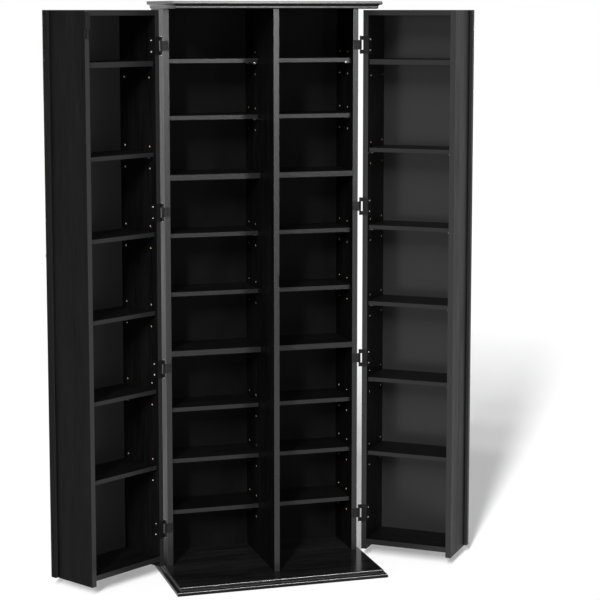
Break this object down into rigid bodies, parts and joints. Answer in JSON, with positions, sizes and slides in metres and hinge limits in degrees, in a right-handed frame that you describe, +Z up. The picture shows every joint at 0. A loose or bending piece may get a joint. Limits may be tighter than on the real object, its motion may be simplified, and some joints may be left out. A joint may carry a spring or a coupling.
{
  "type": "cd dvd storage tower",
  "caption": "Tall shelved media cabinet on a wide moulded base, with two deep shelved box doors that swing out on wrap-round hinges.",
  "frame": {"origin": "middle of the base plate's underside, on the floor", "axes": "+X to the right as seen from the front, +Y to the back, +Z up"},
  "size_m": [1.2819, 0.394, 1.68],
  "materials": {
    "panel_laminate": "satin black wood-grain laminate on board",
    "plate_laminate": "satin black foil on moulded board",
    "shelf_laminate": "satin black laminate on board",
    "door_laminate": "satin black wood-grain laminate on board",
    "back_laminate": "black printed hardboard",
    "black_metal": "satin black coated steel",
    "bright_steel": "bright nickel plate",
    "satin_nickel": "satin nickel plate",
    "screw_steel": "zinc plate",
    "dowel_wood": "plain beech"
  },
  "bodies": {
    "cabinet": {"back_panel": "back_laminate", "base_plate": "plate_laminate", "bolt_strike_plate": "black_metal", "cabinet_shelf_pins": "bright_steel", "cabinet_shelves_1": "shelf_laminate", "cabinet_shelves_2": "shelf_laminate", "cabinet_shelves_3": "shelf_laminate", "cabinet_shelves_4": "shelf_laminate", "cabinet_shelves_5": "shelf_laminate", "cabinet_shelves_6": "shelf_laminate", "cabinet_shelves_7": "shelf_laminate", "carcass_screws": "screw_steel", "centre_divider": "panel_laminate", "frame_hinge_leaves": "black_metal", "frame_hinge_screws": "black_metal", "hinge_pins": "bright_steel", "left_lower_fixed_shelf": "shelf_laminate", "left_side_panel": "panel_laminate", "left_upper_fixed_shelf": "shelf_laminate", "right_lower_fixed_shelf": "shelf_laminate", "right_side_panel": "panel_laminate", "right_upper_fixed_shelf": "shelf_laminate", "top_plate": "plate_laminate", "wood_dowels": "dowel_wood"},
    "left_door": {"left_door_bolt_housing": "black_metal", "left_door_bottom_panel": "panel_laminate", "left_door_fixed_shelf": "shelf_laminate", "left_door_free_side": "panel_laminate", "left_door_front_board": "door_laminate", "left_door_front_frame": "door_laminate", "left_door_hinge_leaves": "black_metal", "left_door_hinge_screws": "bright_steel", "left_door_hinge_side": "panel_laminate", "left_door_knob": "satin_nickel", "left_door_shelf_1": "shelf_laminate", "left_door_shelf_2": "shelf_laminate", "left_door_shelf_3": "shelf_laminate", "left_door_shelf_4": "shelf_laminate", "left_door_shelf_5": "shelf_laminate", "left_door_shelf_pins": "bright_steel", "left_door_top_panel": "panel_laminate"},
    "right_door": {"right_door_bottom_panel": "panel_laminate", "right_door_fixed_shelf": "shelf_laminate", "right_door_free_side": "panel_laminate", "right_door_front_board": "door_laminate", "right_door_front_frame": "door_laminate", "right_door_hinge_leaves": "black_metal", "right_door_hinge_screws": "bright_steel", "right_door_hinge_side": "panel_laminate", "right_door_knob": "satin_nickel", "right_door_lock_housing": "satin_nickel", "right_door_shelf_1": "shelf_laminate", "right_door_shelf_2": "shelf_laminate", "right_door_shelf_3": "shelf_laminate", "right_door_shelf_4": "shelf_laminate", "right_door_shelf_5": "shelf_laminate", "right_door_shelf_pins": "bright_steel", "right_door_top_panel": "panel_laminate"},
    "left_bolt": {"left_door_slide_bolt": "black_metal"},
    "right_lock": {"right_door_lock_plug": "satin_nickel"}
  },
  "joints": [
    {"name": "left_door_hinge", "type": "hinge", "parent": "cabinet", "child": "left_door", "pos_m": [-0.3005, 0.0283, 0.84], "axis": [0, 0, -1], "range_deg": [-148, 22]},
    {"name": "right_door_hinge", "type": "hinge", "parent": "cabinet", "child": "right_door", "pos_m": [0.3005, 0.0283, 0.84], "axis": [0, 0, 1], "range_deg": [-142, 28]},
    {"name": "left_bolt_slide", "type": "slide", "parent": "left_door", "child": "left_bolt", "axis": [0, 0, 1], "range_m": [0, 0.015]},
    {"name": "right_lock_turn", "type": "hinge", "parent": "right_door", "child": "right_lock", "pos_m": [0.59458, -0.01834, 0.89], "axis": [-0.6157, -0.788, 0], "range_deg": [0, 90]}
  ]
}
